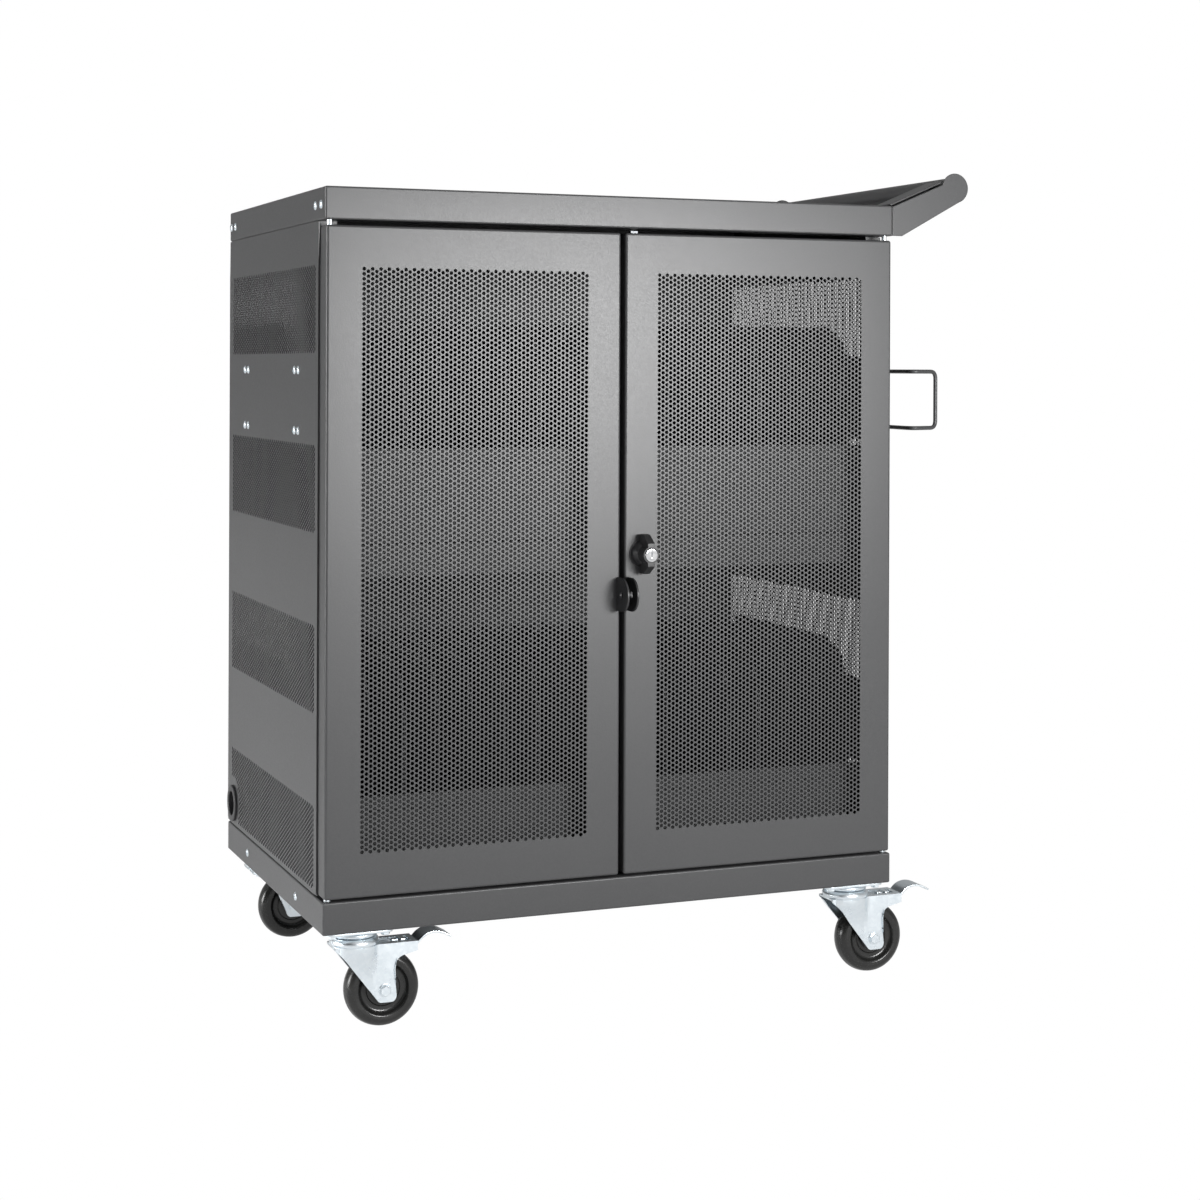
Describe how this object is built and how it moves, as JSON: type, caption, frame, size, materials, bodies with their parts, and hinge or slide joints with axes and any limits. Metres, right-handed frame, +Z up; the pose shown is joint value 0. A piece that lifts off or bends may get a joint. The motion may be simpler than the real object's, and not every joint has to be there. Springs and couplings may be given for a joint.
{
  "type": "laptop charging cart",
  "caption": "Steel laptop charging cart with perforated double doors, slotted shelves, a lid-mounted push handle, cord hooks and swivel casters with front brakes.",
  "frame": {"origin": "on the floor under the middle of the outline", "axes": "+X to the right of someone facing the doors, +Y from the doors to the back, +Z up"},
  "size_m": [0.9718, 0.607, 1.1615],
  "materials": {
    "powder_coat": "charcoal powder coat, satin",
    "zinc_plate": "bright zinc plate",
    "chrome_plate": "polished",
    "black_plastic": "fine grained black",
    "wheel_rubber": "smooth black, slightly glossy"
  },
  "bodies": {
    "cabinet": {"top_lid": "powder_coat", "base_pan": "powder_coat", "left_side_panel": "powder_coat", "right_side_panel": "powder_coat", "lower_shelf": "powder_coat", "lower_divider_rack": "powder_coat", "lower_back_panel": "powder_coat", "lower_fascia": "powder_coat", "upper_shelf": "powder_coat", "upper_divider_rack": "powder_coat", "upper_back_panel": "powder_coat", "upper_fascia": "powder_coat", "adapter_tray": "powder_coat", "handle_front_arm": "powder_coat", "handle_rear_arm": "powder_coat", "handle_tube": "powder_coat", "front_cord_hook": "powder_coat", "rear_cord_hook": "powder_coat", "left_top_pin": "zinc_plate", "left_bottom_pin": "zinc_plate", "right_top_pin": "zinc_plate", "right_bottom_pin": "zinc_plate", "cord_grommet": "black_plastic", "lower_power_strip": "black_plastic", "upper_power_strip": "black_plastic", "front_left_caster_plate": "zinc_plate", "front_right_caster_plate": "zinc_plate", "rear_left_caster_plate": "zinc_plate", "rear_right_caster_plate": "zinc_plate"},
    "left_front_door": {"left_door": "powder_coat", "left_hasp_tab": "black_plastic"},
    "right_front_door": {"right_door": "powder_coat", "right_hasp_tab": "black_plastic", "lock_rosette": "black_plastic"},
    "knob": {"wing_knob": "black_plastic", "latch_cam": "zinc_plate"},
    "key": {"key_cylinder": "chrome_plate"},
    "upper_bar": {"upper_latch_bar": "zinc_plate"},
    "lower_bar": {"lower_latch_bar": "zinc_plate"},
    "left_back_door": {"rear_left_door": "powder_coat"},
    "right_back_door": {"rear_right_door": "powder_coat"},
    "back_lock": {"rear_lock": "chrome_plate"},
    "front_left_caster": {"front_left_fork": "zinc_plate", "front_left_axle": "zinc_plate"},
    "front_left_roller": {"front_left_wheel": "wheel_rubber"},
    "front_left_brake": {"front_left_brake_pedal": "zinc_plate"},
    "front_right_caster": {"front_right_fork": "zinc_plate", "front_right_axle": "zinc_plate"},
    "front_right_roller": {"front_right_wheel": "wheel_rubber"},
    "front_right_brake": {"front_right_brake_pedal": "zinc_plate"},
    "rear_left_caster": {"rear_left_fork": "zinc_plate", "rear_left_axle": "zinc_plate"},
    "rear_left_roller": {"rear_left_wheel": "wheel_rubber"},
    "rear_right_caster": {"rear_right_fork": "zinc_plate", "rear_right_axle": "zinc_plate"},
    "rear_right_roller": {"rear_right_wheel": "wheel_rubber"}
  },
  "joints": [
    {"name": "left_door_hinge", "type": "hinge", "parent": "cabinet", "child": "left_front_door", "pos_m": [-0.4734, -0.2535, 0.62005], "axis": [0, 0, -1], "range_deg": [0, 180]},
    {"name": "right_door_hinge", "type": "hinge", "parent": "cabinet", "child": "right_front_door", "pos_m": [0.3496, -0.2535, 0.62005], "axis": [0, 0, 1], "range_deg": [0, 180]},
    {"name": "knob_turn", "type": "hinge", "parent": "right_front_door", "child": "knob", "pos_m": [-0.0333, -0.2835, 0.62005], "axis": [0, 1, 0], "range_deg": [0, 90]},
    {"name": "key_turn", "type": "hinge", "parent": "knob", "child": "key", "pos_m": [-0.0333, -0.2935, 0.62005], "axis": [0, 1, 0], "range_deg": [0, 90]},
    {"name": "upper_bar_slide", "type": "slide", "parent": "right_front_door", "child": "upper_bar", "axis": [0, 0, 1], "range_m": [0, 0.0142]},
    {"name": "lower_bar_slide", "type": "slide", "parent": "right_front_door", "child": "lower_bar", "axis": [0, 0, -1], "range_m": [0, 0.0142]},
    {"name": "left_back_door_hinge", "type": "hinge", "parent": "cabinet", "child": "left_back_door", "pos_m": [-0.4474, 0.2925, 0.62005], "axis": [0, 0, 1], "range_deg": [0, 95]},
    {"name": "right_back_door_hinge", "type": "hinge", "parent": "cabinet", "child": "right_back_door", "pos_m": [0.3236, 0.2925, 0.62005], "axis": [0, 0, -1], "range_deg": [0, 95]},
    {"name": "back_lock_turn", "type": "hinge", "parent": "right_back_door", "child": "back_lock", "pos_m": [-0.0379, 0.3005, 0.62005], "axis": [0, 1, 0], "range_deg": [0, 90]},
    {"name": "front_left_swivel", "type": "hinge", "parent": "cabinet", "child": "front_left_caster", "pos_m": [-0.4289, -0.2255, 0.1223], "axis": [0, 0, 1], "continuous": true},
    {"name": "front_left_spin", "type": "hinge", "parent": "front_left_caster", "child": "front_left_roller", "pos_m": [-0.3919, -0.2255, 0.051], "axis": [0, 1, 0], "continuous": true},
    {"name": "front_left_pedal", "type": "hinge", "parent": "front_left_caster", "child": "front_left_brake", "pos_m": [-0.3609, -0.2255, 0.103], "axis": [0, 1, 0], "range_deg": [0, 14]},
    {"name": "front_right_swivel", "type": "hinge", "parent": "cabinet", "child": "front_right_caster", "pos_m": [0.3051, -0.2255, 0.1223], "axis": [0, 0, 1], "continuous": true},
    {"name": "front_right_spin", "type": "hinge", "parent": "front_right_caster", "child": "front_right_roller", "pos_m": [0.3421, -0.2255, 0.051], "axis": [0, 1, 0], "continuous": true},
    {"name": "front_right_pedal", "type": "hinge", "parent": "front_right_caster", "child": "front_right_brake", "pos_m": [0.3731, -0.2255, 0.103], "axis": [0, 1, 0], "range_deg": [0, 14]},
    {"name": "rear_left_swivel", "type": "hinge", "parent": "cabinet", "child": "rear_left_caster", "pos_m": [-0.4289, 0.2625, 0.1223], "axis": [0, 0, 1], "continuous": true},
    {"name": "rear_left_spin", "type": "hinge", "parent": "rear_left_caster", "child": "rear_left_roller", "pos_m": [-0.3919, 0.2625, 0.051], "axis": [0, 1, 0], "continuous": true},
    {"name": "rear_right_swivel", "type": "hinge", "parent": "cabinet", "child": "rear_right_caster", "pos_m": [0.3051, 0.2625, 0.1223], "axis": [0, 0, 1], "continuous": true},
    {"name": "rear_right_spin", "type": "hinge", "parent": "rear_right_caster", "child": "rear_right_roller", "pos_m": [0.3421, 0.2625, 0.051], "axis": [0, 1, 0], "continuous": true}
  ],
  "couplings": [
    {"joint": "upper_bar_slide", "follows": "knob_turn", "m_per_rad": 0.009003},
    {"joint": "lower_bar_slide", "follows": "knob_turn", "m_per_rad": 0.009003}
  ]
}
